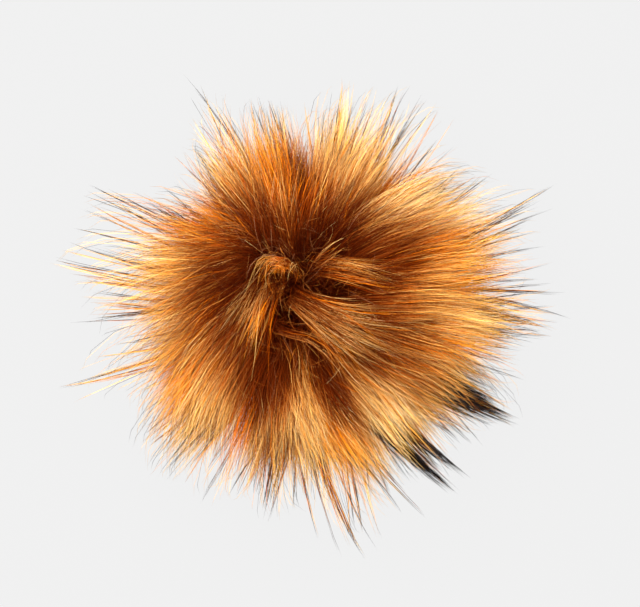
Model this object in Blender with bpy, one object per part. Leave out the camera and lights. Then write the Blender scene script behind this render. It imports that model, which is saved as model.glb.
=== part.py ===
"""A faux fur pom pom at rest: one ball of long pile, drawn out into pointed locks.

The pile stands out all round a small gathered core, so what can be touched is one solid: a ball that
the floor presses flat underneath. Its surface is combed away from a parting near the crown, in locks
that rise from a low root to a free point. Metres, +Z up, the origin in the middle of the flat spot.
"""

import math

import bmesh
import bpy
import numpy as np
from mathutils import Vector

MM = 0.001

# The packed pile between the locks is an ellipsoid, and the floor cuts its lowest part off.
CENTRE_HEIGHT = 48 * MM
BODY_RADII = np.array([53, 51, 52]) * MM

# The parting is a soft hollow near the crown, and every lock is combed away from it.
PARTING_AZIMUTH = 116
PARTING_ELEVATION = 76
PARTING_HALF_WIDTH = 17
PARTING_DEPTH = 7 * MM

# A lock's ridge is a cone's side, sharpened: 1 is straight, and more is a slimmer ridge.
RIDGE_SHARPNESS = 1.25
RISE_POWER = 0.8
POINT_NARROWING = 0.55
# On the upper half a lock's free end leans over, away from the parting, by this share of its height.
LEAN = 0.7

# The locks that stand out at the crown. Azimuth 0 is +X and 90 is +Y, and angles are in degrees.
CROWN_LOCKS = [
    # root azimuth, root elevation, tip azimuth, tip elevation, reach mm, half width
    (135, 70, 212, 60, 64, 8),
    (80, 84, -50, 56, 65, 9),
    (40, 78, 24, 56, 64, 8),
    (78, 66, 66, 50, 64, 7),
    (118, 62, 112, 46, 64, 7),
    (160, 60, 160, 42, 64, 8),
    (188, 58, 190, 40, 64, 8),
    (250, 74, 240, 50, 64, 8),
    (290, 74, 278, 52, 64, 8),
]

# The long locks round the widest part, which make the outline seen from above.
SIDE_LOCKS = [
    # tip azimuth, tip elevation, reach mm, half width
    (4, 3, 73, 10),
    (15, -8, 67, 9),
    (26, 5, 74, 9),
    (38, -5, 65, 10),
    (51, 4, 70, 9),
    (65, -4, 71, 10),
    (79, 5, 69, 11),
    (91, -8, 59, 8),
    (101, 6, 64, 9),
    (110, -5, 66, 8),
    (120, 4, 71, 10),
    (132, -5, 68, 9),
    (146, 6, 65, 10),
    (156, -6, 73, 8),
    (166, 5, 75, 9),
    (175, -5, 76, 9),
    (185, 6, 68, 9),
    (197, -4, 74, 9),
    (209, 6, 63, 9),
    (220, -5, 70, 10),
    (231, 6, 66, 9),
    (241, -5, 68, 9),
    (251, 5, 63, 8),
    (261, -5, 68, 9),
    (273, 6, 67, 9),
    (284, -5, 73, 10),
    (296, 6, 62, 9),
    (307, -4, 70, 9),
    (318, 6, 64, 9),
    (330, -3, 73, 10),
    (341, 7, 63, 9),
    (353, -6, 71, 11),
]
SIDE_ROOT_RUN = 22
# No ridge starts nearer the parting than this share of the way from its tip.
NEAREST_PARTING = 0.9

# The other locks stand in rings, each a little out of place. The lowest are pressed on the floor.
LOCK_RINGS = [
    # tip elevation, count, first azimuth, reach mm, half width, run of the ridge
    (23, 27, 9, 64, 9, 20),
    (38, 21, 20, 63, 9, 18),
    (-19, 27, 3, 65, 9, 16),
    (-36, 22, 11, 62, 10, 14),
    (-55, 12, 0, 58, 12, 12),
]
PLACE_SCATTER = 3.4
REACH_SCATTER = 3.5 * MM

# The surface is sampled along each ridge, and at evenly spread directions clear of the ridges.
RIDGE_STEPS = (1, 0.72, 0.42)
EVEN_SAMPLES = 4700
RIDGE_CLEARANCE = 1.5

FUR_COLOUR = (0.55, 0.27, 0.09, 1)
FUR_ROUGHNESS = 0.62


def clear_scene():
    for obj in list(bpy.data.objects):
        bpy.data.objects.remove(obj)


def direction(azimuth, elevation):
    """The unit vector at that azimuth and elevation."""
    a, e = math.radians(azimuth), math.radians(elevation)
    return np.array([math.cos(e) * math.cos(a), math.cos(e) * math.sin(a), math.sin(e)])


PARTING = direction(PARTING_AZIMUTH, PARTING_ELEVATION)


def unit(vectors):
    return vectors / np.linalg.norm(vectors, axis=-1, keepdims=True)


def degrees_between(first, second):
    return np.degrees(np.arccos(np.clip((first * second).sum(axis=-1), -1, 1)))


def scatter(serial, step):
    """An even spread over -1 to 1 for the whole numbers, the same on each run."""
    return 2 * ((serial * step) % 1) - 1


def combed_root(tip, run):
    """Where a lock's ridge starts: run degrees back from its tip, towards the parting."""
    turn = math.radians(min(run, NEAREST_PARTING * degrees_between(tip, PARTING)))
    back = unit(PARTING - tip * (tip @ PARTING))
    return math.cos(turn) * tip + math.sin(turn) * back


def lock_rows():
    """Each lock's root and tip direction, reach in metres and half width in degrees, as four arrays."""
    rows = []
    for root_azimuth, root_elevation, tip_azimuth, tip_elevation, reach, width in CROWN_LOCKS:
        root = direction(root_azimuth, root_elevation)
        rows.append((root, direction(tip_azimuth, tip_elevation), reach * MM, width))
    for azimuth, elevation, reach, width in SIDE_LOCKS:
        tip = direction(azimuth, elevation)
        rows.append((combed_root(tip, SIDE_ROOT_RUN), tip, reach * MM, width))

    golden, plastic, silver = 0.618034, 0.754878, 0.414214
    for elevation, count, first_azimuth, reach, width, run in LOCK_RINGS:
        for i in range(count):
            serial = len(rows)
            azimuth = first_azimuth + 360 * i / count + PLACE_SCATTER * scatter(serial, golden)
            tip = direction(azimuth, elevation + PLACE_SCATTER * scatter(serial, plastic))
            length = reach * MM + REACH_SCATTER * scatter(serial, silver)
            rows.append((combed_root(tip, run), tip, length, width))
    return [np.array(column, float) for column in zip(*rows)]


def body_radius(towards):
    """How far the packed pile reaches between the locks, with the parting drawn in."""
    ellipsoid = 1 / np.linalg.norm(towards / BODY_RADII, axis=-1)
    near = np.clip(1 - degrees_between(towards, PARTING) / PARTING_HALF_WIDTH, 0, 1)
    return ellipsoid - PARTING_DEPTH * near * near * (3 - 2 * near)


def lock_height(towards, body, locks):
    """How far the highest lock stands over the body in each direction."""
    height = np.zeros(len(towards))
    for root, tip, reach, width in zip(*locks):
        ridge = tip - root
        along = np.clip((towards - root) @ ridge / (ridge @ ridge), 0, 1)
        nearest = unit(root + along[:, None] * ridge)
        half_width = width * (1 - POINT_NARROWING * along)
        beside = np.clip(1 - degrees_between(towards, nearest) / half_width, 0, 1)
        rise = np.maximum(reach - body, 0) * along ** RISE_POWER
        height = np.maximum(height, rise * beside ** RIDGE_SHARPNESS)
    return height


def even_directions(count):
    """count unit vectors spread evenly over the sphere, along one spiral."""
    i = np.arange(count) + 0.5
    z = 1 - 2 * i / count
    turn = i * math.pi * (3 - math.sqrt(5))
    flat = np.sqrt(1 - z * z)
    return np.stack([flat * np.cos(turn), flat * np.sin(turn), z], axis=1)


def sample_directions(locks):
    roots, tips = locks[0], locks[1]
    on_ridges = np.concatenate([unit(roots + step * (tips - roots)) for step in RIDGE_STEPS])
    kept = on_ridges[:1]
    for candidate in np.concatenate([on_ridges[1:], even_directions(EVEN_SAMPLES)]):
        if (kept @ candidate).max() < math.cos(math.radians(RIDGE_CLEARANCE)):
            kept = np.concatenate([kept, candidate[None]])
    return kept


def pile_places(towards, locks):
    """Where each sample lies: out to the pile's surface, and leaning over with its lock."""
    body = body_radius(towards)
    height = lock_height(towards, body, locks)
    combed = unit(towards * (towards @ PARTING)[:, None] - PARTING)
    lean = LEAN * height * np.clip(towards[:, 2], 0, 1)
    centre = np.array([0, 0, CENTRE_HEIGHT])
    return centre + towards * (body + height)[:, None] + combed * lean[:, None]


def pile_mesh():
    """One closed mesh: the directions joined as a sphere, moved out to the pile, cut at the floor."""
    locks = lock_rows()
    towards = sample_directions(locks)
    shape = bmesh.new()
    corners = [shape.verts.new(place) for place in towards]
    bmesh.ops.convex_hull(shape, input=corners)
    for corner, place in zip(corners, pile_places(towards, locks)):
        corner.co = Vector(place)

    everything = shape.verts[:] + shape.edges[:] + shape.faces[:]
    bmesh.ops.bisect_plane(shape, geom=everything, plane_co=(0, 0, 0), plane_no=(0, 0, -1),
                           clear_outer=True)
    bmesh.ops.holes_fill(shape, edges=[edge for edge in shape.edges if edge.is_boundary])
    bmesh.ops.triangulate(shape, faces=shape.faces[:])
    bmesh.ops.recalc_face_normals(shape, faces=shape.faces[:])

    mesh = bpy.data.meshes.new("fur_ball")
    shape.to_mesh(mesh)
    shape.free()
    mesh.shade_smooth()
    return mesh


def fur_material():
    material = bpy.data.materials.new("ginger_fur")
    material.use_nodes = True
    shader = material.node_tree.nodes["Principled BSDF"]
    shader.inputs["Base Color"].default_value = FUR_COLOUR
    shader.inputs["Roughness"].default_value = FUR_ROUGHNESS
    shader.inputs["Metallic"].default_value = 0
    return material


def build():
    clear_scene()
    ball = bpy.data.objects.new("fur_ball", pile_mesh())
    ball.data.materials.append(fur_material())
    bpy.context.scene.collection.objects.link(ball)


build()
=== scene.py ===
"""A pom pom of long-pile faux fur, lying on a plain pale surface and seen from straight above.

Every hair is a closed tapered mesh strand that grows out of a small dark ground in the middle of the
ball. Hairs lie together in pointed wisps, and wisps in the locks that shape the ball. The tables are in
mm from the ball's middle, and the meshes in metres. Azimuth 0 is +X and 90 is +Y, in degrees.
"""

import math
from collections import namedtuple

import bmesh
import bpy
import numpy as np
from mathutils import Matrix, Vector


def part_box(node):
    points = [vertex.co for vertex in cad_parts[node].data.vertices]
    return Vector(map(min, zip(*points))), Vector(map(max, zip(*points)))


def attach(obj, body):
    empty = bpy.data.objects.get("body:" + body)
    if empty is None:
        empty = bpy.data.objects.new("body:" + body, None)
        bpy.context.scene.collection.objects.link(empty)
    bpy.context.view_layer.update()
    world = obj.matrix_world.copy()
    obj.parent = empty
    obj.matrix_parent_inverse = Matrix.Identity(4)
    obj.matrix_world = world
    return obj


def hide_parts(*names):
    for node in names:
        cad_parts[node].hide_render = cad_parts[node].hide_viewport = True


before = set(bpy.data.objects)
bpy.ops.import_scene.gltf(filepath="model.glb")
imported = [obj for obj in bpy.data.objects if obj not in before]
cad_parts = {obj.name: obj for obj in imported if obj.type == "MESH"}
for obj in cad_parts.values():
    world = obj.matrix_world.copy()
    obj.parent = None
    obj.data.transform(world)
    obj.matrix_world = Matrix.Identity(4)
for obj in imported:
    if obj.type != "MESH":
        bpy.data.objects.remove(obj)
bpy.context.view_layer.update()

SEED = 20
rng = np.random.default_rng(SEED)
MM = 0.001
# These keep a length off zero, and a place off its way's end.
TINY, TINIER, NUDGE = 1e-6, 1e-9, 1e-4

# The height of the ball's middle, as a share of its solid's.
MIDDLE_SHARE = 0.4615
CENTRE = np.array([0, 0, MIDDLE_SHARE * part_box("fur_ball")[1].z])
# How far from there the hairs start.
CORE_RADIUS = 25 * MM


def direction(azimuth, elevation):
    """The unit vector at that azimuth and elevation, in degrees."""
    a, e = math.radians(azimuth), math.radians(elevation)
    return np.array([math.cos(e) * math.cos(a), math.cos(e) * math.sin(a), math.sin(e)])


def unit(vectors):
    return vectors / np.linalg.norm(vectors, axis=-1, keepdims=True)


def over_crown(x, y, radius):
    """The place on a ball of that radius that is seen at x, y from above, all in mm, in metres."""
    return np.array([x, y, math.sqrt(max(radius ** 2 - x ** 2 - y ** 2, 1))]) * MM


def at_azimuth(rows, azimuth, column=1):
    """What a column of a table that goes once round says at an azimuth, or at an array of them."""
    rows = np.array(rows, float)
    return np.interp(azimuth % 360, rows[:, 0], rows[:, column], period=360)


# ---- How the pile is combed ----

# The crown's pile parts along this line, and is combed away from it to all sides.
PARTING_LINE = [
    # x mm, y mm
    (-17, 19), (-7, 16), (1, 14), (-2, 4), (-9, -4), (-10, -13), (2, -17),
]
PARTING_RADIUS, PARTING_STEPS = 50, 8


def parting():
    """Directions of many places along the parting line."""
    places = []
    for (x, y), (to_x, to_y) in zip(PARTING_LINE, PARTING_LINE[1:]):
        for step in range(PARTING_STEPS):
            share = step / PARTING_STEPS
            places.append(over_crown(x + (to_x - x) * share, y + (to_y - y) * share, PARTING_RADIUS))
    return unit(np.array(places))


PARTING = parting()
# How long a stretch of the parting each hair of the crown comes from.
PARTING_BLEND = 0.05

# Where on the crown the hairs of the sides come from.
COMBED_FROM = [
    # azimuth, x mm, y mm
    (0, -3, 2), (20, -5, 6), (40, -6, 10), (65, -5, 12), (85, -4, 13), (105, -9, 15),
    (135, -12, 16), (160, -14, 17), (180, -14, 15), (205, -16, 11), (225, -14, 5), (242, -7, -5),
    (265, -12, -6), (285, -9, -6), (300, -5, -6), (320, -3, -1), (336, -4, 6), (350, -3, 2),
]
# The sides' hairs have their tips below the first elevation, and the crown's above the second.
SIDES_BELOW, CROWN_ABOVE = 58, 72
# A hair starts at most this share of the way back to where it comes from.
MOST_COMBED_BACK = 0.92


def combed_back(tip, run):
    """run degrees back from a direction, towards where the hairs there come from."""
    weights = np.exp((PARTING @ tip - 1) / PARTING_BLEND)
    on_parting = unit((PARTING * weights[:, None]).sum(0))
    azimuth = math.degrees(math.atan2(tip[1], tip[0]))
    x, y = (at_azimuth(COMBED_FROM, azimuth, column) for column in (1, 2))
    height = math.degrees(math.asin(np.clip(tip[2], -1, 1)))
    side = np.clip((CROWN_ABOVE - height) / (CROWN_ABOVE - SIDES_BELOW), 0, 1)
    source = unit(on_parting * (1 - side) + unit(over_crown(x, y, PARTING_RADIUS)) * side)
    between = math.degrees(math.acos(np.clip(tip @ source, -1, 1)))
    turn = math.radians(min(run, MOST_COMBED_BACK * between))
    back = unit(source - tip * (tip @ source) + TINY)
    return math.cos(turn) * tip + math.sin(turn) * back


# ---- The outline ----

# How far the pile reaches round the widest part, and how far its longest hairs do.
OUTLINE = [
    # azimuth, dense reach mm, longest hairs mm
    (2, 63, 78), (10, 62, 74), (18, 60, 75), (27, 63, 84), (38, 62, 70), (46, 54, 66),
    (53, 47, 75), (60, 54, 77), (68, 58, 78), (77, 60, 72), (85, 62, 75), (93, 50, 64),
    (100, 60, 69), (108, 63, 72), (120, 63, 80), (128, 60, 70), (133, 54, 67), (139, 43, 60),
    (144, 54, 67), (149, 59, 71), (154, 57, 85), (164, 59, 83), (172, 60, 85), (180, 59, 76),
    (190, 59, 72), (198, 60, 86), (208, 60, 68), (216, 64, 76), (225, 67, 75), (234, 61, 70),
    (241, 56, 74), (250, 58, 69), (260, 55, 70), (268, 54, 66), (276, 57, 76), (284, 58, 78),
    (294, 57, 67), (302, 55, 64), (308, 60, 70), (315, 54, 64), (322, 57, 70), (331, 62, 75),
    (340, 60, 71), (348, 61, 70), (354, 65, 76),
]
DENSE, LONGEST = 1, 2

# Locks are drawn out of the outline's notches by its slope times the pull, at most so many degrees. The
# slope is taken over so many degrees to each side.
NOTCH_PULL, NOTCH_MOST, NOTCH_OVER = 2.2, 4.5, 3


def gathered(azimuth):
    """An azimuth drawn away from the notches in the outline, towards the tufts between them."""
    before, after = (at_azimuth(OUTLINE, azimuth + turn, DENSE) for turn in (-NOTCH_OVER, NOTCH_OVER))
    slope = (after - before) / (2 * NOTCH_OVER)
    return azimuth + float(np.clip(NOTCH_PULL * slope, -NOTCH_MOST, NOTCH_MOST))


# ---- Colours ----

# Each kind of fibre has its colours from root to tip, and a mix says how many of each grow together.
# The dark roots are partly the fibres' own colour and partly painted shade of the deep pile.
ROOT = (0, (94, 33, 6))
FIBRE_COLOURS = {
    # stage along the hair, and the display colour there
    "cream": [ROOT, (0.46, (126, 55, 12)), (0.6, (182, 110, 50)),
              (0.76, (238, 186, 114)), (1, (255, 222, 158))],
    "honey": [ROOT, (0.48, (122, 52, 10)), (0.62, (172, 98, 38)),
              (0.78, (236, 168, 84)), (1, (255, 202, 112))],
    "orange": [ROOT, (0.46, (130, 52, 4)), (0.6, (196, 88, 5)),
               (0.74, (246, 134, 10)), (0.86, (254, 158, 34)), (1, (255, 184, 76))],
    "brown": [(0, (80, 28, 4)), (0.55, (116, 50, 11)), (0.75, (176, 98, 38)), (1, (228, 156, 82))],
    "black_tip": [ROOT, (0.42, (128, 58, 14)), (0.56, (226, 152, 72)),
                  (0.68, (210, 134, 64)), (0.8, (92, 62, 48)), (1, (50, 43, 43))],
    "soot": [ROOT, (0.3, (100, 48, 20)), (0.4, (72, 45, 35)),
             (0.55, (52, 37, 33)), (1, (42, 36, 35))],
    "stray": [(0, (60, 24, 8)), (0.3, (100, 52, 24)), (0.7, (150, 96, 62)), (1, (184, 132, 94))],
}
FIBRES = list(FIBRE_COLOURS)
MIXES = {
    # cream, honey, orange, brown, black tip, soot, stray
    "pale": (58, 25, 4, 11, 2, 0, 0),
    "honey": (26, 43, 10, 18, 3, 0, 0),
    "ginger": (4, 18, 62, 13, 3, 0, 0),
    "fox": (0, 4, 72, 18, 6, 0, 0),
    "chestnut": (12, 28, 6, 50, 4, 0, 0),
    "rust": (0, 8, 50, 36, 6, 0, 0),
    "umber": (5, 12, 4, 77, 2, 0, 0),
    "sooty": (0, 6, 4, 6, 24, 60, 0),
    "black": (0, 0, 3, 6, 5, 86, 0),
    "tawny": (0, 56, 14, 18, 12, 0, 0),
    "amber": (0, 70, 22, 6, 2, 0, 0),
    "tipped": (4, 10, 10, 2, 74, 0, 0),
    "dun": (14, 14, 6, 30, 0, 0, 36),
    "stray": (10, 10, 0, 10, 0, 0, 70),
}
# A mix's fibres as running shares, which end at 1.
SHARES = {name: np.cumsum(parts) / sum(parts) for name, parts in MIXES.items()}
# What the pile's wisps take outside the dark and the patches, each with the same chance.
PLAIN_MIXES = ["honey", "ginger", "pale", "honey", "pale", "honey", "pale"]

# Where a wisp's tip lies near one of these places, seen from above, it takes that mix.
PATCHES = [
    # x mm, y mm, radius mm, mix, how much lighter
    (-18, 58, 7, "ginger", 0), (-11, 50, 9, "rust", -0.1), (3, 41, 6, "rust", 0),
    (-46, 30, 11, "fox", -0.04), (-38, -17, 6, "ginger", 0), (-48, -38, 7, "ginger", -0.03),
    (-37, -38, 8, "honey", -0.05), (-29, -19, 8, "honey", 0.1), (57, -14, 9, "ginger", -0.06),
    (56, 20, 8, "ginger", 0.1), (37, -50, 5, "rust", 0), (12, -56, 6, "ginger", 0),
    (-30, -54, 6, "ginger", 0), (-55, -3, 7, "honey", 0), (-34, 54, 10, "pale", 0.1),
    (11, 61, 12, "pale", 0.16), (27, 58, 11, "pale", 0.25), (48, 39, 11, "pale", 0.18),
    (29, -45, 10, "pale", 0.2), (1, -52, 10, "pale", 0.12), (-63, 12, 11, "amber", 0.24),
    (60, -3, 9, "honey", 0.03), (53, 7, 8, "amber", 0.12), (62, 8, 5, "ginger", 0.14),
    (-56, -22, 8, "tawny", 0), (32, -21, 7, "chestnut", 0.04), (-17, -62, 3.5, "sooty", 0),
    (-54, 36, 4, "sooty", 0), (57, -33, 4.5, "black", 0), (61.5, -35.5, 5, "black", 0),
    (41, -53, 3, "black", 0), (43.5, -55, 4, "black", 0),
]
# A patch's edge is between these shares of its radius, and its lowest tips are this high, in mm.
PATCH_REACH, PATCH_LOWEST = (0.6, 1.2), -25

# Seen from above, how far the dark round the middle of the crown reaches: it runs out in wedges.
# That dark is partly the hair's own brown, partly painted shade of the deep pile and of crevices between
# locks.
CROWN_MIDDLE = (-6, 2)
DARK_AND_SHADE_REACH = [
    # azimuth, mm
    (0, 38), (8, 40), (16, 44), (26, 44.5), (35, 42), (50, 39), (70, 37), (88, 44),
    (98, 32), (110, 38), (122, 42), (134, 35), (146, 31), (155, 33), (166, 33), (185, 37),
    (200, 37.5), (212, 36), (222, 39.5), (230, 37), (238, 38), (246, 43), (258, 39), (268, 27),
    (278, 22), (288, 37), (295, 43), (305, 27), (314, 32), (324, 40), (332, 42), (341, 41),
    (350, 38.5),
]
# Half the width of the zone, from 0 to 1, where the dark gives way to the light, and its blur.
DARK_EDGE, DARK_BLUR = 9, 3
# A wisp whose chance is over the zone times the first number, less the second, is umber or chestnut.
UMBER_OVER, CHESTNUT_OVER = (1.5, 0), (1.2, 0.2)
# A wisp's shade in the dark, what the zone adds, how much darker umber is, and how far wisps scatter.
# Painted shade: the lower shade in the dark makes the wisps there darker.
SHADE_IN_DARK, SHADE_BEYOND, UMBER_DARKER, WISP_SHADES = 0.535, 0.165, 0.03, 0.03
# A hair's colour stage where it leaves the dark, and the mm that it takes to go through all stages.
LEAVING_DARK, STAGES_OVER = 0.56, 51
# How far that scatters, and how much further out it is for each step of shade darker, in mm.
LEAVING_SCATTER, SHADE_LEAVES_BY = 2.5, 40
# This share of the hairs leave the dark earlier, by up to so many mm.
EARLY, EARLY_BY = 0.06, 20
# Below the ball's middle the dark doesn't reach: it fades out over so much height.
DARK_FADES_OVER = 20 * MM
# Outside the dark, a hair goes through its colours this much faster, which paints light into the shaded gaps
# between tips.
STAGES_LEAD = 1.2


def colour_stages(points, places, dark_by):
    """How far each point is through its hair's colours, by its place along it, held back in the dark as
    painted shade.
    """
    x, y = points[..., 0] / MM - CROWN_MIDDLE[0], points[..., 1] / MM - CROWN_MIDDLE[1]
    dark = at_azimuth(DARK_AND_SHADE_REACH, np.degrees(np.arctan2(y, x))) + dark_by[:, None]
    held_back = LEAVING_DARK + (np.hypot(x, y) - dark) / STAGES_OVER
    held_back += np.clip(0.5 - (points[..., 2] - CENTRE[2]) / DARK_FADES_OVER, 0, 1)
    return np.clip(np.minimum(places * STAGES_LEAD, held_back), 0, 1)


def fibre_at(chance, shares):
    """Which fibre of a mix each chance from 0 to 1 falls on."""
    return (chance[:, None] > shares).sum(1)


# This share of the hairs take their wisp's own fibre, and the others pick one from its mix.
WISP_LOYALTY = 0.25


def loyal_or_picked(own, shares):
    picked = fibre_at(rng.random(len(own)), shares)
    return np.where(rng.random(len(own)) < WISP_LOYALTY, own, picked)


# The darkest and the lightest tone.
TONES = (0.03, 0.97)


def across_map(fibres, tone):
    """Where each hair lies across the band map, which has a band for each fibre, from dark to light."""
    return (fibres + np.clip(tone, *TONES)) / len(FIBRES)


# ---- Strands ----

# places are where a strand's rings lie along it, girth their share of its width, shortest and longest the
# range of its length as a share, and curl and sway how many mm it and its wisp wave. root and tip are its
# scatter in its wisp in degrees, and vary in shade.
Kind = namedtuple("Kind", "places girth width shortest longest curl sway root tip vary", defaults=[0] * 4)
PILE = Kind((0, 0.46, 0.76), (0.8, 1, 0.9), 0.09 * MM, 0.82, 1.02, 0.08, root=3.6, tip=1.0, vary=0.04)
GUARD = Kind((0, 0.42, 0.66, 0.86), (0.7, 0.9, 1, 0.9), 0.1 * MM, 1, 1, 0.1, root=3.2, tip=1.2, vary=0.1)
CURL = Kind((0, 0.16, 0.29, 0.39, 0.48, 0.57, 0.66, 0.75, 0.84, 0.92), (1, 1, 1, 1, 1, 1, 1, 0.9, 0.8, 0.6),
            0.07 * MM, 0.66, 1.0, 0.6, sway=1.0)
CROWN = Kind((0, 0.2, 0.36, 0.5, 0.64, 0.77, 0.9), (0.8, 1, 1, 1, 0.9, 0.8, 0.5),
             0.09 * MM, 0.75, 1.0, 0.4, sway=0.7)
STRAY = Kind((0, 0.2, 0.36, 0.52, 0.68, 0.84), (1, 1, 1, 1, 1, 0.8), 0.06 * MM, 1, 1, 0.2)
TUFT = Kind((0, 0.4, 0.66, 0.88), (0.5, 0.8, 1, 0.9), 0.15 * MM, 0.8, 1.0, 0.25)
# How far a strand's rings are shifted along it, as a share of it.
PLACE_SCATTER = 0.04


def in_disc(count):
    """count random points in the unit disc."""
    angle = rng.uniform(0, 2 * math.pi, count)
    radius = np.sqrt(rng.uniform(0, 1, count))
    return np.stack([radius * np.cos(angle), radius * np.sin(angle)], axis=1)


def ring_places(kind, count):
    """Where each of count strands has its rings and its tip, from 0 to 1 along it."""
    places = np.repeat(np.array(kind.places + (1.0,))[None], count, axis=0)
    places[:, 1:-1] += rng.uniform(-PLACE_SCATTER, PLACE_SCATTER, (count, 1))
    return places


def waves(places, turns, count, owner=slice(None)):
    """A wave to every side along each strand, or the same one along all strands of one owner."""
    phase = rng.uniform(0, 2 * math.pi, (count, 1, 3))[owner]
    turns = rng.uniform(*turns, (count, 1, 3))[owner]
    return np.sin(2 * math.pi * turns * places + phase)


# How low hairs lie on the floor, how much higher some do, and how much of its lift spreads a point.
FLOOR_CLEARANCE, FLOOR_PILE = 0.4 * MM, 2.5 * MM
FLOOR_SPREAD = 0.6


def above_floor(points):
    """The points, with those that would be under the floor laid out flat on it."""
    low = FLOOR_CLEARANCE + rng.uniform(0, FLOOR_PILE, (len(points), 1))
    lift = np.maximum(low - points[..., 2], 0)
    points[..., 2] = np.maximum(points[..., 2], low)
    outward = points[..., :2] / (np.linalg.norm(points[..., :2], axis=-1, keepdims=True) + TINY)
    points[..., :2] += outward * lift[..., None] * FLOOR_SPREAD
    return points


# ---- The pile: rings of locks all round the ball ----

# A lock runs from its start direction at the core to its end direction at its tip. spread is its half
# width in degrees, tight the share of it left at the tip, bow how far its middle stands aside, bend how
# late it turns and amount how thick it grows. fate, from 0 to 1, picks its mix, and shade lightens it.
Lock = namedtuple("Lock", "start end reach spread tight bow bend amount fate shade")

RINGS = [
    # tip elevation, count, run, spread, tight, amount
    (80, 4, 8, 9, 1, 1.4),
    (68, 8, 18, 8, 1, 1.4),
    (58, 13, 28, 8, 1, 1.4),
    (47, 18, 38, 8, 1, 1.4),
    (36, 22, 48, 8, 1, 1.4),
    (25, 28, 50, 8, 0.9, 1.6),
    (14, 33, 46, 8, 0.8, 1.5),
    (3, 36, 36, 8, 0.7, 1.3),
    (-8, 34, 24, 8, 0.7, 1),
    (-20, 30, 18, 8, 0.7, 0.9),
    (-33, 24, 15, 9, 0.7, 0.7),
    (-47, 18, 12, 9, 0.8, 0.5),
    (-62, 11, 8, 10, 0.9, 0.4),
    (-79, 5, 3, 11, 0.9, 0.4),
]
# How locks scatter: by a share of their distance, by degrees at the tip and the root, and by factors.
RING_SCATTER, TIP_SCATTER, ROOT_SCATTER = 0.35, 6, 5
RUNS, REACHES, AMOUNTS = (0.75, 1.15), (0.94, 1.05), (0.8, 1.25)
LOCK_BEND, LOCK_BOWS, LOCK_SHADES = 1.6, 0.7, 0.085
# The reach at the top and bottom, and the elevation where it has taken over from the outline's.
TOP_REACH, TOP_FROM, TOP_SHARPNESS = 60, 60, 1.5


def ring_locks():
    locks = []
    for elevation, count, run, spread, tight, amount in RINGS:
        first = rng.uniform(0, 360)
        for i in range(count):
            azimuth = gathered(first + 360 * (i + rng.uniform(-RING_SCATTER, RING_SCATTER)) / count)
            height = elevation + rng.uniform(-TIP_SCATTER, TIP_SCATTER)
            root = direction(azimuth + rng.normal(0, ROOT_SCATTER), height)
            start = combed_back(root, run * rng.uniform(*RUNS))
            top = np.clip(abs(height) / TOP_FROM, 0, 1) ** TOP_SHARPNESS
            reach = at_azimuth(OUTLINE, azimuth, DENSE) * (1 - top) + TOP_REACH * top
            end = direction(azimuth, height)
            locks.append(Lock(start, end, reach * MM * rng.uniform(*REACHES), spread, tight,
                              rng.normal(0, LOCK_BOWS) * MM, LOCK_BEND, amount * rng.uniform(*AMOUNTS),
                              rng.random(), rng.normal(0, LOCK_SHADES)))
    return locks


def tangent_basis(towards, across):
    """Two unit vectors square to each direction: along the comb, and across it."""
    across = unit(across - towards * (across * towards).sum(-1, keepdims=True))
    return np.cross(across, towards), across


def moved(towards, basis, offsets):
    """Each direction turned by its offsets, in degrees along and across the comb."""
    along, across = basis
    turn = np.radians(offsets)
    return unit(towards + along * turn[:, :1] + across * turn[:, 1:])


# A lock's wisps, and how they scatter: by degrees at the tip, a share of that at the root, and factors.
WISPS = 20
WISP_SCATTER, WISP_ROOT_SCATTER = 1.5, 0.5
WISP_REACHES, WISP_BOWS, WISP_BENDS = (0.87, 1.07), 0.2, (0.9, 1.12)
# This share of the wisps take their lock's fate, and the others their own.
LOCK_LOYALTY = 0.75
# How many times more a hair strays in the dark, and more again in its middle, out to so many mm.
CROWN_MESS = 3
MIDDLE_MESS, MIDDLE_MESS_OVER = 3, 26


def wisps_of(locks):
    """The locks' wisps, as arrays of their directions, reach, bend, share of the hair and colours."""
    columns = (np.repeat(np.array(values, float), WISPS, axis=0) for values in zip(*locks))
    start, end, reach, spread, tight, bow, bend, amount, fate, shade = columns
    count = len(start)
    across = np.cross(end, start + NUDGE * PARTING[0])
    place = in_disc(count)
    start_basis, end_basis = tangent_basis(start, across), tangent_basis(end, across)
    scatter = rng.normal(0, WISP_SCATTER, (count, 2))
    wisps = {
        "across": start_basis[1],
        "start": moved(start, start_basis, place * spread[:, None] + scatter * WISP_ROOT_SCATTER),
        "end": moved(end, end_basis, place * (spread * tight)[:, None] + scatter),
        "reach": reach * rng.uniform(*WISP_REACHES, count),
        "bow": bow + rng.normal(0, WISP_BOWS, count) * MM,
        "bend": bend * rng.uniform(*WISP_BENDS, count),
        "share": amount * spread ** 2,
        "chance": rng.random(count),
    }
    return wisps | wisp_colours(wisps["end"] * wisps["reach"][:, None] / MM, fate, shade)


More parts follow.
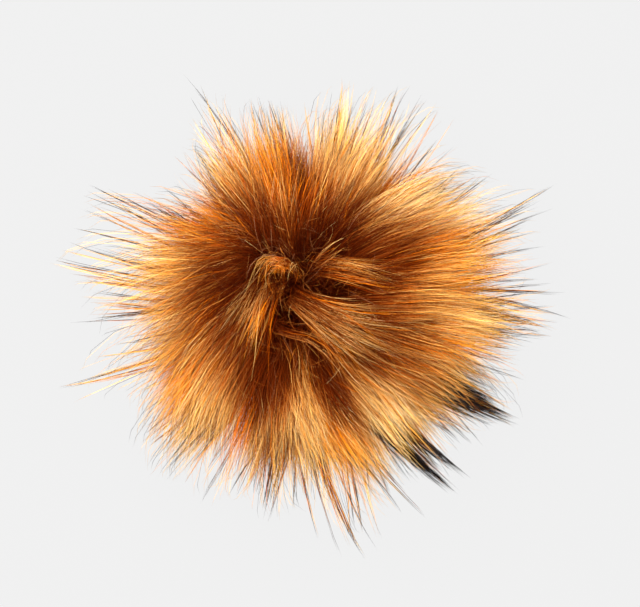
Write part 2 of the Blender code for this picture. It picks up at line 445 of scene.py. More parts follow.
def wisp_colours(tips, fate, shade):
    """The wisps' colours, by where their tips are, and how messy their hairs are."""
    count = len(tips)
    x, y = tips[:, 0] - CROWN_MIDDLE[0], tips[:, 1] - CROWN_MIDDLE[1]
    dark = at_azimuth(DARK_AND_SHADE_REACH, np.degrees(np.arctan2(y, x)))
    away = np.hypot(x, y) + rng.normal(0, DARK_BLUR, count)
    zone = np.where(tips[:, 2] < 0, 1, np.clip((away - dark) / (2 * DARK_EDGE) + 0.5, 0, 1))
    dark_by = rng.normal(0, LEAVING_SCATTER, count) - SHADE_LEAVES_BY * shade

    names = list(MIXES)
    umber, chestnut = names.index("umber"), names.index("chestnut")
    own = rng.random(count) > LOCK_LOYALTY
    fate = np.where(own, rng.random(count), fate)
    plain_mixes = np.array([names.index(name) for name in PLAIN_MIXES])
    mix = plain_mixes[(fate * len(plain_mixes)).astype(int)]
    chance = rng.random(count)
    mix[chance > zone * CHESTNUT_OVER[0] - CHESTNUT_OVER[1]] = chestnut
    mix[chance > zone * UMBER_OVER[0] - UMBER_OVER[1]] = umber
    lighter = np.zeros(count)
    for patch_x, patch_y, radius, name, patch_lighter in PATCHES:
        edge = radius * rng.uniform(*PATCH_REACH, count)
        near = (np.hypot(tips[:, 0] - patch_x, tips[:, 1] - patch_y) < edge) & (tips[:, 2] > PATCH_LOWEST)
        mix[near] = names.index(name)
        lighter[near] = patch_lighter
    # Painted shade: wisps in the dark take a lower shade.
    shade = SHADE_IN_DARK + SHADE_BEYOND * zone + shade + rng.normal(0, WISP_SHADES, count) + lighter
    return {
        "mix": np.array([SHARES[name] for name in names])[mix],
        "mess": 1 + CROWN_MESS * (1 - zone) + MIDDLE_MESS * np.exp(-(away / MIDDLE_MESS_OVER) ** 2),
        "shade": shade - UMBER_DARKER * (mix == umber),
        "dark by": dark_by,
    }


# A hair keeps this share of its place in the wisp at the tip. Some hairs go astray by so many times more.
FAN = 0.6
ASTRAY, ASTRAY_BY = 0.1, 4
# Hairs on the upper side lie along the ball, and those at the rim stand out from it.
LIES_FROM, LIES_AT = 0.2, 0.6
RISE_OUT, RISE_LYING = 1.4, 2.5
# How few hairs are short, how much less so where they lie, and by what share their ends then stay back.
SHORT_FEW, SHORT_LYING, SHORT_BACK = 1.2, 0.7, 0.45
# Guard hairs reach past their wisp, few of them to the outline's longest, and less far on top.
GUARD_LEAST, GUARD_FEW, GUARD_HIGH = 1.02, 2.2, 0.6
GUARD_TOP_FROM, GUARD_TOP = 0.5, 0.9
GUARDS_TIPPED = 0.25
PILE_TURNS = (0.5, 1.3)

# The crevices between the crown's locks, where the pile lies lower. They open over so much height.
DIPS = [
    # x mm, y mm, radius mm, depth mm
    (1, 18, 6, 7), (-10, -4, 5, 12), (-12, -13, 5, 8), (-4, -16, 7, 12), (11.5, 4, 5, 8), (4, 5, 4, 4),
]
DIPS_OPEN_OVER = 30 * MM


def sunk_in_dips(points):
    """The points lowered towards the ball's middle where a crevice opens above them."""
    for x, y, radius, depth in DIPS:
        away = np.hypot(points[..., 0] / MM - x, points[..., 1] / MM - y) / radius
        share = np.exp(-away ** 2) * np.clip(points[..., 2] / DIPS_OPEN_OVER, 0, 1)
        length = np.linalg.norm(points, axis=-1) + TINY
        points *= (1 - share * depth * MM / length)[..., None]
    return points


def hair_ways(wisp, count, kind):
    """Each hair's start, end, way across, reach, and how much it lies along the ball."""
    start_basis = tangent_basis(wisp["start"], wisp["across"])
    end_basis = tangent_basis(wisp["end"], wisp["across"])
    place = in_disc(count) * kind.root
    starts = moved(wisp["start"], start_basis, place)
    astray = rng.normal(0, kind.tip, (count, 2))
    astray *= np.where(rng.random(count) < ASTRAY, ASTRAY_BY, 1)[:, None]
    ends = moved(wisp["end"], end_basis, place * FAN + astray * wisp["mess"][:, None])
    lies = np.clip((ends[:, 2] - LIES_FROM) / (LIES_AT - LIES_FROM), 0, 1)
    shorter = rng.uniform(0, 1, count) ** SHORT_FEW
    lengths = kind.longest - (kind.longest - kind.shortest) * shorter * (1 - SHORT_LYING * lies)
    back = SHORT_BACK * shorter * lies
    ends = unit(starts * back[:, None] + ends * (1 - back)[:, None])
    return starts, ends, end_basis[1], wisp["reach"] * lengths, lies


def guard_reach(reach, ends):
    """How far the guard hairs of wisps of that reach go, towards those ends."""
    longest = at_azimuth(OUTLINE, np.degrees(np.arctan2(ends[:, 1], ends[:, 0])), LONGEST)
    longest = longest * MM * np.where(ends[:, 2] > GUARD_TOP_FROM, GUARD_TOP, 1)
    extra = rng.uniform(0, 1, len(ends)) ** GUARD_FEW
    return reach * GUARD_LEAST + (longest - reach) * extra * (1 - GUARD_HIGH * np.abs(ends[:, 2]))


def grow(wisps, count, kind):
    """The points, colour stages and bands of count strands of one kind, shared out over the wisps."""
    owner = np.sort(rng.choice(len(wisps["share"]), count, p=wisps["share"] / wisps["share"].sum()))
    wisp = {name: values[owner] for name, values in wisps.items()}
    starts, ends, across, reach, lies = hair_ways(wisp, count, kind)
    if kind is GUARD:
        reach = guard_reach(wisp["reach"], ends)

    fibres = loyal_or_picked(fibre_at(wisp["chance"], wisp["mix"]), wisp["mix"])
    if kind is GUARD:
        fibres[fibres == FIBRES.index("cream")] = FIBRES.index("honey")
        fibres[rng.random(count) < GUARDS_TIPPED * (1 - lies)] = FIBRES.index("black_tip")
    tone = wisp["shade"] + rng.normal(0, kind.vary, count)

    places = ring_places(kind, count)[..., None]
    turned = places ** wisp["bend"][:, None, None]
    towards = unit(starts[:, None] * (1 - turned) + ends[:, None] * turned)
    risen = 1 - (1 - places) ** (RISE_OUT + (RISE_LYING - RISE_OUT) * lies)[:, None, None]
    points = towards * (CORE_RADIUS + (reach[:, None, None] - CORE_RADIUS) * risen)
    points += across[:, None] * (wisp["bow"][:, None, None] * np.sin(math.pi * places))
    points += kind.curl * MM * wisp["mess"][:, None, None] * places * waves(places, PILE_TURNS, count)
    points = above_floor(sunk_in_dips(points) + CENTRE)

    tips = points[:, -1] / MM
    for x, y, radius, name, _ in PATCHES:
        if name == "black":
            fibres[np.hypot(tips[:, 0] - x, tips[:, 1] - y) < radius] = FIBRES.index("soot")
    early = np.where(rng.random(count) < EARLY, rng.uniform(0, EARLY_BY, count), 0)
    dark_by = wisp["dark by"] + rng.normal(0, LEAVING_SCATTER, count) - early
    return points, colour_stages(points, places[..., 0], dark_by), across_map(fibres, tone)


# ---- Locks and single hairs that are swept along a way ----

# way holds places and the half width at each, and stage is how far its tips get through their colours.
Swept = namedtuple("Swept", "hairs wisps mix shade stage way")

# The tuft at the crown that rises, curls over at its head and hangs to the left.
CURL_LOCKS = [
    # way: x, y, distance from the ball's middle, half width, all in mm
    Swept(56, 44, "ginger", 0.66, 0.88, [
        (-8, 9, 48, 2), (-8.8, 12, 56, 2), (-11, 13.2, 59.4, 1.8),
        (-14.4, 12, 60.8, 2), (-15.8, 7.5, 60.6, 2.1), (-15, 1, 59.6, 2.8)]),
    Swept(34, 26, "dun", 0.66, 0.95, [
        (-8.5, 10, 48, 1.6), (-9.8, 13, 56, 1.8), (-12.6, 14.2, 59.6, 1.8),
        (-15.8, 12.8, 60.9, 2), (-18, 8.5, 60.5, 2.4), (-20, 1, 59.5, 3.5)]),
    Swept(30, 26, "ginger", 0.6, 0.86, [
        (-7.5, 8, 48, 2), (-7.6, 11, 55, 2), (-8.8, 12.8, 58.3, 1.8),
        (-10.8, 12, 59.4, 1.5), (-11.2, 9.4, 59.2, 1.5), (-10.6, 6.5, 58.6, 1.6)]),
    Swept(20, 18, "chestnut", 0.66, 0.92, [
        (-6.5, 8, 50, 2), (-6.3, 11, 56, 1.8), (-7.2, 12.6, 57.8, 1.6),
        (-8.4, 10.4, 58.2, 1.8), (-8.4, 7, 57.5, 2.2)]),
    # What fills the hollow under its head.
    Swept(60, 46, "umber", 0.5, 0.76, [
        (-11, 9, 48, 3), (-11.8, 8.6, 54, 3), (-12.4, 6.5, 57, 3),
        (-12.4, 3, 57.8, 3.2), (-11.6, -1, 57.2, 3.6)]),
]
# The locks that lie over the rest at the crown.
CROWN_LOCKS = [
    # way: x, y, distance from the ball's middle, half width, all in mm
    # The fine fan that comes out from under the curl, to the lower left.
    Swept(196, 120, "pale", 0.5, 0.81, [
        (-11, 9, 48, 2), (-16, 8, 55, 3.5), (-20, 1, 58.6, 5), (-25, -9, 59.5, 9), (-33, -26, 58.5, 14)]),
    Swept(60, 34, "ginger", 0.6, 0.88, [
        (-11, 7, 48, 2), (-14.5, 3, 56, 3), (-17, -4, 59.5, 4), (-19.5, -12, 60.5, 5),
        (-23.5, -23, 59.5, 7)]),
    # The lock that lies out to the right from the top of the parting, light above and orange below.
    Swept(90, 60, "honey", 0.66, 0.85, [
        (-2, 12, 50, 2), (3, 13.5, 57, 2), (10, 12.8, 59.5, 2.2), (19, 11, 59.7, 3.2), (34, 7, 59, 6)]),
    Swept(14, 8, "honey", 0.55, 0.84, [
        (-2, 11, 52, 1), (2, 14.5, 58, 1.5), (7, 18, 60, 1.5), (10, 20, 61, 2)]),
    Swept(64, 36, "rust", 0.6, 0.8, [
        (-2, 11, 50, 3), (5, 10.8, 56, 3), (14, 10, 58.5, 4), (26, 8.5, 58.5, 6.5), (40, 6, 56, 10)]),
    # The broad tan lock that fans out to the lower right.
    Swept(290, 170, "pale", 0.63, 0.82, [
        (-8, 4, 48, 3), (-4, 1.4, 55.5, 3.5), (6, -4.8, 59, 5.6), (18.5, -10.5, 60, 9),
        (34, -16, 58, 14)]),
    Swept(80, 44, "rust", 0.66, 0.84, [
        (-7, 2, 48, 3), (-2, -1, 55, 5), (7, -8, 58.5, 8), (15, -17, 58.5, 12), (24, -30, 57, 15)]),
    Swept(34, 22, "pale", 0.66, 0.82, [
        (4, -1, 52, 2), (12, -4.5, 57.5, 2.6), (22, -8, 58.6, 4), (34, -12, 57, 6), (45, -16, 54, 8)]),
    # The thin lock that arches over the dark below it.
    Swept(30, 16, "chestnut", 0.6, 0.8, [
        (-14, -5, 50, 2), (-9, -7.5, 57, 2), (-1, -10, 58.5, 2.5), (7, -17, 58.5, 4), (13, -28, 57, 7)]),
    # Those that run off to the upper left.
    Swept(50, 34, "chestnut", 0.52, 0.76, [
        (-15, 18, 48, 3), (-21, 20, 56, 5), (-31, 24, 58, 8), (-43, 28, 57, 10)]),
    Swept(90, 50, "honey", 0.55, 0.75, [
        (-11, 21, 48, 3), (-12, 26, 56, 5), (-12, 34, 58, 7), (-10, 46, 57, 9)]),
    Swept(90, 50, "chestnut", 0.55, 0.75, [
        (-19, 15, 48, 3), (-26, 12, 56, 5), (-36, 8, 58, 8), (-49, 3, 57, 10)]),
]


def on_crown(locks):
    """The locks with their ways' places, as seen from above, turned into places in metres."""
    placed = []
    for lock in locks:
        way = [list(over_crown(x, y, radius)) + [width * MM] for x, y, radius, width in lock.way]
        placed.append(lock._replace(way=np.array(way)))
    return placed


# Single hairs that loop over the head of the curled tuft, and some that arch over the crown.
LOOPS = [
    # x, y, distance from the ball's middle, all in mm
    [(-6, 11, 55), (-8, 16.5, 60), (-12.5, 19.5, 61.5), (-17, 18.5, 61.5), (-17.5, 15, 60)],
    [(-5, 12, 55), (-9, 18, 60), (-13, 20.5, 62), (-18, 19, 61), (-19, 14, 60)],
    [(-8, 12, 55), (-8, 15.5, 60), (-12, 18, 62), (-16, 17, 62), (-18, 12, 61)],
    [(-6, 8, 55), (-5.5, 13, 60), (-8.5, 17, 61.5), (-12, 17.5, 61), (-15, 14, 60)],
    [(6, 9, 56), (12, 8, 61), (15, 4, 62.5), (18, -2, 62), (20, -7, 60)],
    [(4, -2, 58), (8, 0, 61.5), (11, 2, 62), (14, 4.5, 62)],
]
# Other single hairs: light ones that cross the crown, and dark ones every way between its locks.
LOOSE_HAIRS = [
    # count, mix, stage, radius of field mm, step mm, distance from the middle mm, degrees astray
    (260, "stray", 1, 27, (2.5, 6), (57, 60.5), 50),
    (500, "umber", 0.76, 17, (1.5, 4), (50, 58.5), 90),
]
LOOSE_HALF_WIDTH, LOOSE_SHADES = 0.4, (0.4, 0.8)
# How far a loose hair turns at each step, how deep its root is, and how high each step ends.
LOOSE_BENDS, LOOSE_ROOT, LOOSE_STEPS = 15, -9, (-2, 0.5, 1, 0)


def loose_way(field, steps, heights, astray):
    """A short way that starts anywhere in a field round the crown's middle and bends to one side."""
    angle = rng.uniform(0, 360)
    place = CROWN_MIDDLE + field * math.sqrt(rng.uniform(0, 1)) * direction(angle, 0)[:2]
    heading = angle + rng.normal(0, astray)
    bend = rng.normal(0, LOOSE_BENDS)
    step = rng.uniform(*steps)
    height = rng.uniform(*heights)
    way = [(*place, height + LOOSE_ROOT, LOOSE_HALF_WIDTH)]
    for lift in LOOSE_STEPS:
        place = place + step * direction(heading, 0)[:2]
        heading += bend
        way.append((*place, height + lift, LOOSE_HALF_WIDTH))
    return way


def stray_hairs():
    ways = [("stray", 1, [place + (LOOSE_HALF_WIDTH,) for place in loop]) for loop in LOOPS]
    for count, mix, stage, *field in LOOSE_HAIRS:
        ways += [(mix, stage, loose_way(*field)) for _ in range(count)]
    return [Swept(1, 1, mix, rng.uniform(*LOOSE_SHADES), stage, way) for mix, stage, way in ways]


# Tufts at the rim, beyond the pile round them, the black ones first. lean is how many degrees of azimuth a
# tuft's root lies on from its tip.
RIM_TUFTS = [
    # azimuth, lean, elevation, reach mm, half width mm, hairs, wisps, mix
    (-29.5, -7, 22, 78, 2.8, 460, 60, "black"), (-28, -8, 24, 72, 3, 170, 30, "black"),
    (-32, -4, 18, 73, 3, 150, 30, "black"), (-53, -14, 15, 76, 2.4, 280, 40, "black"),
    (-49, -12, 16, 75, 1.6, 150, 20, "black"), (-57, -10, 18, 70, 2.4, 70, 14, "black"),
    (-43, 0, 0, 66, 3, 40, 8, "sooty"), (-8, 0, 4, 73, 2.2, 34, 10, "sooty"),
    (-104, 0, 6, 71, 2.2, 60, 12, "sooty"), (146, 0, 14, 67, 2.2, 26, 6, "sooty"),
    (-4, 3, 8, 79, 1.6, 26, 8, "tipped"), (-2.7, 12, 9, 82, 1, 20, 5, "tipped"),
    (2.6, 5, 9, 81, 1, 14, 4, "tipped"), (-6.3, 12, 6, 80, 1.8, 30, 6, "tawny"),
    (9, 0, 8, 67, 6, 70, 12, "ginger"), (22.4, 0, 10, 82, 1, 14, 4, "tipped"),
    (27.6, -4, 10, 86, 1.2, 12, 4, "tipped"), (14.5, 4, 8, 77, 0.8, 8, 3, "tipped"),
    (10.7, -3, 8, 80, 0.4, 3, 1, "tipped"), (-78.3, -16, 8, 86, 0.8, 8, 3, "tipped"),
    (-75, -14, 8, 85, 0.6, 4, 2, "tipped"), (-84.5, -14, 8, 81, 1, 8, 3, "tipped"),
    (-89, -14, 6, 76, 1.3, 10, 4, "tipped"), (-82, -14, 7, 79, 1.4, 8, 4, "tipped"),
    (-80, -14, 7, 79, 2, 22, 6, "tawny"), (-62, -16, 6, 77, 1.4, 16, 5, "tipped"),
    (-67, -14, 6, 73, 1.6, 16, 5, "tipped"), (152.5, 0, 8, 87, 1.3, 14, 5, "tipped"),
    (156, 4, 8, 82, 1.2, 12, 4, "tawny"), (164.7, 4, 6, 88, 1.3, 14, 7, "tipped"),
    (169.9, 3, 5, 89, 1.6, 12, 6, "tipped"), (172, 2, 5, 84, 2, 18, 6, "honey"),
    (178, 2, 5, 76, 2, 30, 6, "tawny"), (183, 0, 4, 79, 1.2, 10, 3, "tipped"),
    (197.5, 0, 6, 89, 0.4, 3, 2, "tipped"), (120, -9, 10, 86, 0.7, 6, 3, "tipped"),
    (117, -6, 12, 78, 1.4, 9, 4, "tipped"), (105.4, -6, 14, 69, 1, 14, 4, "sooty"),
    (101, -4, 16, 66, 1.2, 10, 4, "sooty"), (82, 0, 10, 76, 2.4, 26, 6, "pale"),
    (68, 0, 12, 76, 2.4, 26, 6, "pale"),
]
# How many more go to each row of OUTLINE, how far they get from its dense reach to its longest, and the
# ranges of their other values.
MORE_TUFTS, MORE_REACHES, MORE_ASIDE, MORE_LEANS = 6, (0.5, 1.12), 4, 3
MORE_ELEVATIONS, MORE_WIDTHS, MORE_HAIRS, MORE_TIPPED = (-12, 20), (0.4, 1.3), (2, 7), 0.7

# The way of a tuft from its root to its tip.
TUFT_WAY = [
    # share of the lean, degrees over the tip, mm out, share of the reach out, share of the half width
    (1, 16, 34, 0, 1.6),
    (0.7, 10, 46, 0, 1.5),
    (0.25, 4, 0, 0.82, 1),
    (0, 0, 0, 1, 0.7),
]
# A black tuft comes down from so many times higher over its tip.
BLACK_HIGHER, TUFT_SHADE = 2, 0.62


def more_tufts():
    """More rows like those of RIM_TUFTS, at random round the outline."""
    rows = []
    for azimuth, dense, longest in OUTLINE:
        for _ in range(MORE_TUFTS):
            reach = dense + (longest - dense) * rng.uniform(*MORE_REACHES)
            place = gathered(azimuth + rng.uniform(-MORE_ASIDE, MORE_ASIDE))
            lean = rng.normal(0, MORE_LEANS)
            elevation = rng.uniform(*MORE_ELEVATIONS)
            width = rng.uniform(*MORE_WIDTHS)
            hairs = int(rng.integers(*MORE_HAIRS))
            mix = "tipped" if rng.random() < MORE_TIPPED else "tawny"
            rows.append((place, lean, elevation, reach, width, hairs, 1, mix))
    return rows


def rim_tufts():
    tufts = []
    for azimuth, lean, elevation, reach, width, hairs, wisps, mix in RIM_TUFTS + more_tufts():
        higher = BLACK_HIGHER if mix == "black" else 1
        way = []
        for leaning, over, out, share_out, share_wide in TUFT_WAY:
            towards = direction(azimuth + lean * leaning, elevation + over * higher)
            way.append(list(towards * (out + share_out * reach) * MM) + [width * share_wide * MM])
        tufts.append(Swept(hairs, wisps, mix, TUFT_SHADE, 1, np.array(way)))
    return tufts


def along_way(way, share):
    """The place and half width at each share of a way between its end places, by Catmull and Rom's spline."""
    spans = len(way) - 3
    place = np.clip(share * spans, 0, spans - TINY)
    i = place.astype(int)
    f = (place - i)[..., None]
    a, b, c, d = way[i], way[i + 1], way[i + 2], way[i + 3]
    squared, cubed = 2 * a - 5 * b + 4 * c - d, 3 * b - a - 3 * c + d
    at = 0.5 * (2 * b + (c - a) * f + squared * f ** 2 + cubed * f ** 3)
    return at[..., :3], at[..., 3]


# A wisp's half width, as a share of its lock's: the first over the root of their number, and the second.
SWEPT_WISP, SWEPT_WISP_LEAST = 0.9, 0.1
# How far wisps drift aside, how much closer hairs get at the tip, and how flat a lock is.
SWEPT_DRIFT, SWEPT_CLOSER, SWEPT_FLATNESS = 0.35, 0.75, 0.45
# How much shorter a hair may be than its wisp, and how few are.
SHORTER_BY, SHORTER_FEW = 0.25, 1.5
SWEPT_TURNS, SWAY_TURNS = (0.5, 1.6), (0.7, 1.8)
SWEPT_WISP_SHADES, SWEPT_HAIR_SHADES = 0.16, 0.12
STAGE_POWER, LOOK_AHEAD = 0.9, 0.02


def sweep(lock, kind):
    """The points, colour stages and bands of a swept lock's hairs."""
    way, count = lock.way, lock.hairs
    root = np.append(unit(way[0, :3]) * CORE_RADIUS, way[0, 3])
    way = np.vstack([2 * root - way[0], root, way, 2 * way[-1] - way[-2]])

    ends = rng.uniform(kind.shortest, kind.longest, lock.wisps)
    ends[0] = 1
    centres = in_disc(lock.wisps)
    owner = np.sort(rng.integers(0, lock.wisps, count))
    offset = in_disc(count) * (SWEPT_WISP / math.sqrt(lock.wisps) + SWEPT_WISP_LEAST)
    drift = rng.normal(0, SWEPT_DRIFT, lock.wisps)
    finish = ends[owner] * (1 - SHORTER_BY * rng.uniform(0, 1, count) ** SHORTER_FEW)
    places = ring_places(kind, count)

    share = places * finish[:, None]
    middle, half_width = along_way(way, share)
    along = unit(along_way(way, share + LOOK_AHEAD)[0] - middle + TINIER)
    outward = unit(middle)
    side = unit(np.cross(along, outward))
    closer = 1 - SWEPT_CLOSER * places ** 2
    aside = centres[owner, None, 0] + drift[owner, None] * places ** 2 + offset[:, None, 0] * closer
    above = centres[owner, None, 1] + offset[:, None, 1] * closer
    points = middle + side * (aside * half_width)[..., None]
    points += outward * (above * half_width * SWEPT_FLATNESS)[..., None]
    points += kind.curl * MM * places[..., None] * waves(places[..., None], SWEPT_TURNS, count)
    if kind.sway:
        sway = waves(places[..., None], SWAY_TURNS, lock.wisps, owner)
        points += kind.sway * MM * places[..., None] * sway

    shares = SHARES[lock.mix]
    fibres = loyal_or_picked(fibre_at(rng.random(lock.wisps), shares)[owner], shares)
    tone = lock.shade + rng.normal(0, SWEPT_WISP_SHADES, lock.wisps)[owner]
    tone += rng.normal(0, SWEPT_HAIR_SHADES, count)
    return above_floor(points + CENTRE), places ** STAGE_POWER * lock.stage, across_map(fibres, tone)


# ---- Meshes and materials ----

# A ring's corners in degrees, the factors of a strand's width, and how wide its strip of the map is.
CORNER_TURNS = (30, 150, 270)
STRAND_WIDTHS = (0.75, 1.2)
STRIP_WIDTH = 0.002


def strand_mesh(name, points, stages, bands, kind):
    """Closed three-sided strands through those points, each drawn to a tip, with the band map OFBake."""
    count, rings = len(points), len(kind.places)
    along = unit(np.gradient(points, axis=1))
    side = unit(np.cross(along, unit(rng.normal(0, 1, (count, 1, 3)))))
    up = np.cross(side, along)
    radius = kind.width * rng.uniform(*STRAND_WIDTHS, (count, 1, 1)) / 2
    corners = []
    for turn in CORNER_TURNS:
        a = math.radians(turn)
        offset = (side * math.cos(a) + up * math.sin(a))[:, :rings]
        corners.append(points[:, :rings] + offset * radius * np.array(kind.girth)[None, :, None])
    corners = np.stack(corners, axis=2).reshape(count, rings * 3, 3)
    vertices = np.concatenate([corners, points[:, -1:]], axis=1)
    per_strand = rings * 3 + 1

    # The faces of one strand. A corner is its vertex, the ring that it is in and the side that it is at.
    faces = [((0, 0, 0), (2, 0, 2), (1, 0, 1))]
    for ring in range(rings):
        for s in range(3):
            a, b = (3 * ring + s, ring, s), (3 * ring + (s + 1) % 3, ring, s + 1)
            if ring == rings - 1:
                faces.append((a, b, (per_strand - 1, rings, s + 0.5)))
            else:
                next_a, next_b = ((vertex + 3, ring + 1, at) for vertex, _, at in (a, b))
                faces += [(a, b, next_b), (a, next_b, next_a)]
    vertex, level, at = np.moveaxis(np.array(faces), 2, 0)
    all_faces = (vertex.astype(int) + per_strand * np.arange(count)[:, None, None]).reshape(-1)
    map_v = stages[:, level.astype(int)]
    map_u = bands[:, None, None] + STRIP_WIDTH * (at / 3 - 0.5)

    mesh = bpy.data.meshes.new(name)
    mesh.vertices.add(count * per_strand)
    mesh.vertices.foreach_set("co", vertices.astype(np.float32).reshape(-1))
    mesh.loops.add(len(all_faces))
    mesh.loops.foreach_set("vertex_index", all_faces.astype(np.int32))
    mesh.polygons.add(len(all_faces) // 3)
    mesh.polygons.foreach_set("loop_start", np.arange(0, len(all_faces), 3, dtype=np.int32))
    mesh.update(calc_edges=True)
    band_map = mesh.uv_layers.new(name="OFBake")
    band_map.uv.foreach_set("vector", np.stack([map_u, map_v], -1).astype(np.float32).reshape(-1))
    return mesh


def linked(name, mesh, material):
    """A new smooth piece of that mesh and material."""
    mesh.shade_smooth()
    mesh.materials.append(material)
    piece = bpy.data.objects.new(name, mesh)
    bpy.context.scene.collection.objects.link(piece)
    return piece


def srgb(red, green, blue):
    """A display colour, 0 to 255, as the linear colour that a shader takes."""
    def linear(value):
        value /= 255
        return value / 12.92 if value <= 0.04045 else ((value + 0.055) / 1.055) ** 2.4
    return (linear(red), linear(green), linear(blue), 1)


def new_material(name):
    """A material, its node tree and its shader."""
    material = bpy.data.materials.new(name)
    material.use_nodes = True
    return material, material.node_tree, material.node_tree.nodes["Principled BSDF"]


def maths(tree, operation, first, second):
    """A math node's output. Each of its inputs is a number or another node's output."""
    node = tree.nodes.new("ShaderNodeMath")
    node.operation = operation
    for socket, value in zip(node.inputs, (first, second)):
        if isinstance(value, (int, float)):
            socket.default_value = value
        else:
            tree.links.new(value, socket)
    return node.outputs[0]


def set_inputs(node, values):
    for name, value in values.items():
        node.inputs[name].default_value = value


def about_middle(tree, value, by):
    """A value from 0 to 1 turned into one that runs by that much about 0."""
    return maths(tree, "MULTIPLY", maths(tree, "SUBTRACT", value, 0.5), by)


def colour_ramp(tree, factor, stops):
    """The colour at the factor, between stops of a place and a display colour each."""
    ramp = tree.nodes.new("ShaderNodeValToRGB")
    elements = ramp.color_ramp.elements
    while len(elements) < len(stops):
        elements.new(0.5)
    for element, (place, shade) in zip(elements, stops):
        element.position = place
        element.color = srgb(*shade)
    tree.links.new(factor, ramp.inputs["Fac"])
    return ramp.outputs["Color"]


def bump(tree, shader, height, strength, distance):
    relief = tree.nodes.new("ShaderNodeBump")
    set_inputs(relief, {"Strength": strength, "Distance": distance})
    tree.links.new(height, relief.inputs["Height"])
    tree.links.new(relief.outputs["Normal"], shader.inputs["Normal"])


# How far a hair's tone moves it on through its colours, and how far the fraction of so many tones does.
TONE_LEADS, SCRAMBLED_LEADS, SCRAMBLE = 0.3, 0.1, 7
# Darker hairs are deeper in colour, as painted shade: the gamma at tone 0, and how much less it is at tone 1.
GAMMA_DARK, GAMMA_LESS = 1.7, 0.8
# The lightness at tone 0, what tone 1 and streaks add, and what each stage adds from this one on.
LIGHT_DARK, LIGHT_MORE, LIGHT_STREAKS = 0.35, 0.75, 0.3
# Tips are lighter, partly their own paler colour and partly painted light: the glow of light through them.
TIP_FROM, TIP_LIGHTER = 0.7, 0.35
STREAKS_ACROSS, STREAKS_ALONG = 600, 5
HAIR_ROUGHNESS, ROUGHNESS_STREAKS = 0.5, 0.4


def streaks(tree, across, along):
    """Noise drawn out along the hairs."""
    stretch = tree.nodes.new("ShaderNodeCombineXYZ")
    tree.links.new(maths(tree, "MULTIPLY", across, STREAKS_ACROSS), stretch.inputs["X"])
    tree.links.new(maths(tree, "MULTIPLY", along, STREAKS_ALONG), stretch.inputs["Y"])
    noise = tree.nodes.new("ShaderNodeTexNoise")
    noise.noise_dimensions = "2D"
    set_inputs(noise, {"Scale": 1, "Detail": 1})
    tree.links.new(stretch.outputs[0], noise.inputs["Vector"])
    return noise.outputs["Fac"]


def fibre_colour(tree, band, stage):
    """The colour of the fibre whose band it is, at that stage along the hair."""
    colour = None
    for i, stops in enumerate(FIBRE_COLOURS.values()):
        fibre = colour_ramp(tree, stage, stops)
        if colour is None:
            colour = fibre
            continue
        choice = tree.nodes.new("ShaderNodeMix")
        choice.data_type = "RGBA"
        tree.links.new(maths(tree, "GREATER_THAN", band, i), choice.inputs["Factor"])
        tree.links.new(colour, choice.inputs["A"])
        tree.links.new(fibre, choice.inputs["B"])
        colour = choice.outputs["Result"]
    return colour


def fur_material():
    """Hair coloured by the band map: its fibre and tone run across the map, and root to tip along it."""
    material, tree, shader = new_material("fur")
    band_map = tree.nodes.new("ShaderNodeUVMap")
    band_map.uv_map = "OFBake"
    split = tree.nodes.new("ShaderNodeSeparateXYZ")
    tree.links.new(band_map.outputs["UV"], split.inputs[0])
    across, along = split.outputs["X"], split.outputs["Y"]

    band = maths(tree, "MULTIPLY", across, len(FIBRES))
    tone = maths(tree, "FRACT", band, 0)
    scrambled = maths(tree, "FRACT", maths(tree, "MULTIPLY", tone, SCRAMBLE), 0)
    lead = about_middle(tree, scrambled, SCRAMBLED_LEADS)
    lead = maths(tree, "ADD", lead, about_middle(tree, tone, TONE_LEADS))
    # Painted shade: darker tones get the deeper colour that light takes among hairs in shadow.
    depth = tree.nodes.new("ShaderNodeGamma")
    tree.links.new(fibre_colour(tree, band, maths(tree, "ADD", along, lead)), depth.inputs["Color"])
    gamma = maths(tree, "SUBTRACT", GAMMA_DARK, maths(tree, "MULTIPLY", tone, GAMMA_LESS))
    tree.links.new(gamma, depth.inputs["Gamma"])

    streak = streaks(tree, across, along)
    light = maths(tree, "ADD", LIGHT_DARK, maths(tree, "MULTIPLY", tone, LIGHT_MORE))
    light = maths(tree, "ADD", light, about_middle(tree, streak, LIGHT_STREAKS))
    # Partly painted light: the tips are lightened.
    tip = maths(tree, "MAXIMUM", maths(tree, "SUBTRACT", along, TIP_FROM), 0)
    light = maths(tree, "ADD", light, maths(tree, "MULTIPLY", tip, TIP_LIGHTER))
    lightness = tree.nodes.new("ShaderNodeHueSaturation")
    tree.links.new(depth.outputs["Color"], lightness.inputs["Color"])
    tree.links.new(light, lightness.inputs["Value"])
    tree.links.new(lightness.outputs["Color"], shader.inputs["Base Color"])

    roughness = maths(tree, "ADD", HAIR_ROUGHNESS, about_middle(tree, streak, ROUGHNESS_STREAKS))
    tree.links.new(roughness, shader.inputs["Roughness"])
    bump(tree, shader, streak, strength=0.4, distance=0.1 * MM)
    set_inputs(shader, {"Specular IOR Level": 0.03, "Specular Tint": (1, 0.7, 0.4, 1)})
    return material


GROUND_RADIUS = 26 * MM
GROUND_FOLDS, FOLD_DEPTH = 22, 0.05
GROUND_LOBES, LOBE_DEPTH = 5, 0.02


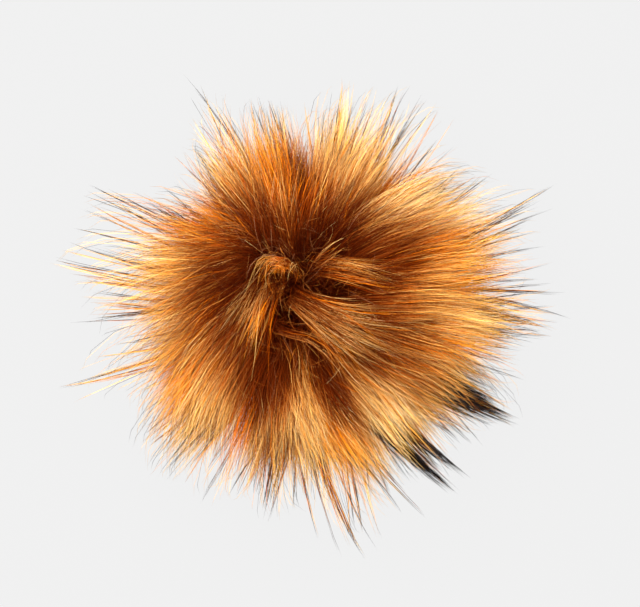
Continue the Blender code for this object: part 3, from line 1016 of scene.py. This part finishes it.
def ground():
    """The dark ground of the pile, in folds at the crown. It shows only at the bottom of a crevice."""
    mesh = bpy.data.meshes.new("pile_ground")
    shape = bmesh.new()
    bmesh.ops.create_icosphere(shape, subdivisions=5, radius=1)
    for vertex in shape.verts:
        azimuth = math.degrees(math.atan2(vertex.co.y, vertex.co.x))
        top = abs(vertex.co.z) ** 2
        fold = FOLD_DEPTH * top * math.sin(math.radians(azimuth * GROUND_FOLDS)) * (1 - top ** 4)
        lobe = LOBE_DEPTH * math.sin(math.radians(azimuth * GROUND_LOBES)) * (1 - top)
        vertex.co *= GROUND_RADIUS * (1 + fold + lobe)
        vertex.co += Vector(CENTRE)
    shape.to_mesh(mesh)
    shape.free()
    return linked("pile_ground", mesh, ground_material())


def ground_material():
    material, tree, shader = new_material("knit_ground")
    place = tree.nodes.new("ShaderNodeTexCoord")
    knit = tree.nodes.new("ShaderNodeTexNoise")
    set_inputs(knit, {"Scale": 400})
    tree.links.new(place.outputs["Object"], knit.inputs["Vector"])
    tint = colour_ramp(tree, knit.outputs["Fac"], [(0.3, (52, 22, 8)), (0.7, (96, 44, 16))])
    tree.links.new(tint, shader.inputs["Base Color"])
    rough = tree.nodes.new("ShaderNodeMapRange")
    set_inputs(rough, {"To Min": 0.8, "To Max": 0.95})
    tree.links.new(knit.outputs["Fac"], rough.inputs["Value"])
    tree.links.new(rough.outputs["Result"], shader.inputs["Roughness"])
    bump(tree, shader, knit.outputs["Fac"], strength=0.6, distance=0.3 * MM)
    set_inputs(shader, {"Specular IOR Level": 0.1})
    return material


# ---- Floor, light and camera ----

PALE_GREY = srgb(239, 239, 239)
LAMP_PLACE, LAMP_TARGET = (-0.1, 0.12, 0.9), (0, 0, 0.05)
# The camera looks straight down. What it takes in is measured across the ball's middle, in mm.
CAMERA_X, CAMERA_Y, CAMERA_UP, VIEW_WIDTH = 0.96, 1.1, 900, 204.8


def add_floor():
    """A dark floor with a pale glow of its own, so that it stays plain, with hardly a shadow on it."""
    bpy.ops.mesh.primitive_plane_add(size=6, location=(0, 0, 0))
    floor = bpy.context.object
    floor.name = "floor"
    material, _, shader = new_material("pale_surface")
    set_inputs(shader, {"Base Color": (0.012, 0.012, 0.012, 1), "Roughness": 0.9, "Specular IOR Level": 0,
                        "Emission Color": PALE_GREY, "Emission Strength": 0.97})
    floor.data.materials.append(material)


def add_light():
    world = bpy.data.worlds.new("studio")
    world.use_nodes = True
    set_inputs(world.node_tree.nodes["Background"], {"Color": PALE_GREY, "Strength": 1.1})
    bpy.context.scene.world = world
    softbox = bpy.data.lights.new("softbox", "AREA")
    softbox.shape = "RECTANGLE"
    softbox.size = softbox.size_y = 0.9
    softbox.energy = 26
    lamp = bpy.data.objects.new("softbox", softbox)
    bpy.context.scene.collection.objects.link(lamp)
    lamp.location = LAMP_PLACE
    lamp.rotation_euler = (Vector(LAMP_TARGET) - lamp.location).to_track_quat("-Z", "Y").to_euler()


def add_camera():
    data = bpy.data.cameras.new("camera")
    data.sensor_width = 36
    data.lens = data.sensor_width * CAMERA_UP / VIEW_WIDTH
    data.clip_start = 0.01
    data.clip_end = 20
    camera = bpy.data.objects.new("camera", data)
    camera.location = (CAMERA_X * MM, CAMERA_Y * MM, CENTRE[2] + CAMERA_UP * MM)
    bpy.context.scene.collection.objects.link(camera)
    bpy.context.scene.camera = camera


# ---- The scene ----

# The pile is several pieces of so many hairs, each under 200,000 triangles.
PILE_PIECES, PILE_HAIRS, GUARD_HAIRS = 4, 11000, 4500

wisps = wisps_of(ring_locks())
fur = fur_material()
pieces = [ground()]


def add_grown(name, count, kind):
    pieces.append(linked(name, strand_mesh(name, *grow(wisps, count, kind), kind), fur))


def add_swept(name, locks, kind):
    strands = [np.concatenate(parts) for parts in zip(*(sweep(lock, kind) for lock in locks))]
    pieces.append(linked(name, strand_mesh(name, *strands, kind), fur))


for i in range(PILE_PIECES):
    add_grown(f"pile_{i + 1}", PILE_HAIRS, PILE)
add_swept("crown_curl", on_crown(CURL_LOCKS), CURL)
add_swept("crown_locks", on_crown(CROWN_LOCKS), CROWN)
add_swept("stray_hairs", on_crown(stray_hairs()), STRAY)
add_grown("guard_hairs", GUARD_HAIRS, GUARD)
add_swept("rim_tufts", rim_tufts(), TUFT)

for piece in pieces:
    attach(piece, "root")
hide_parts("fur_ball")

add_floor()
add_light()
add_camera()
bpy.context.scene.view_settings.view_transform = "Standard"
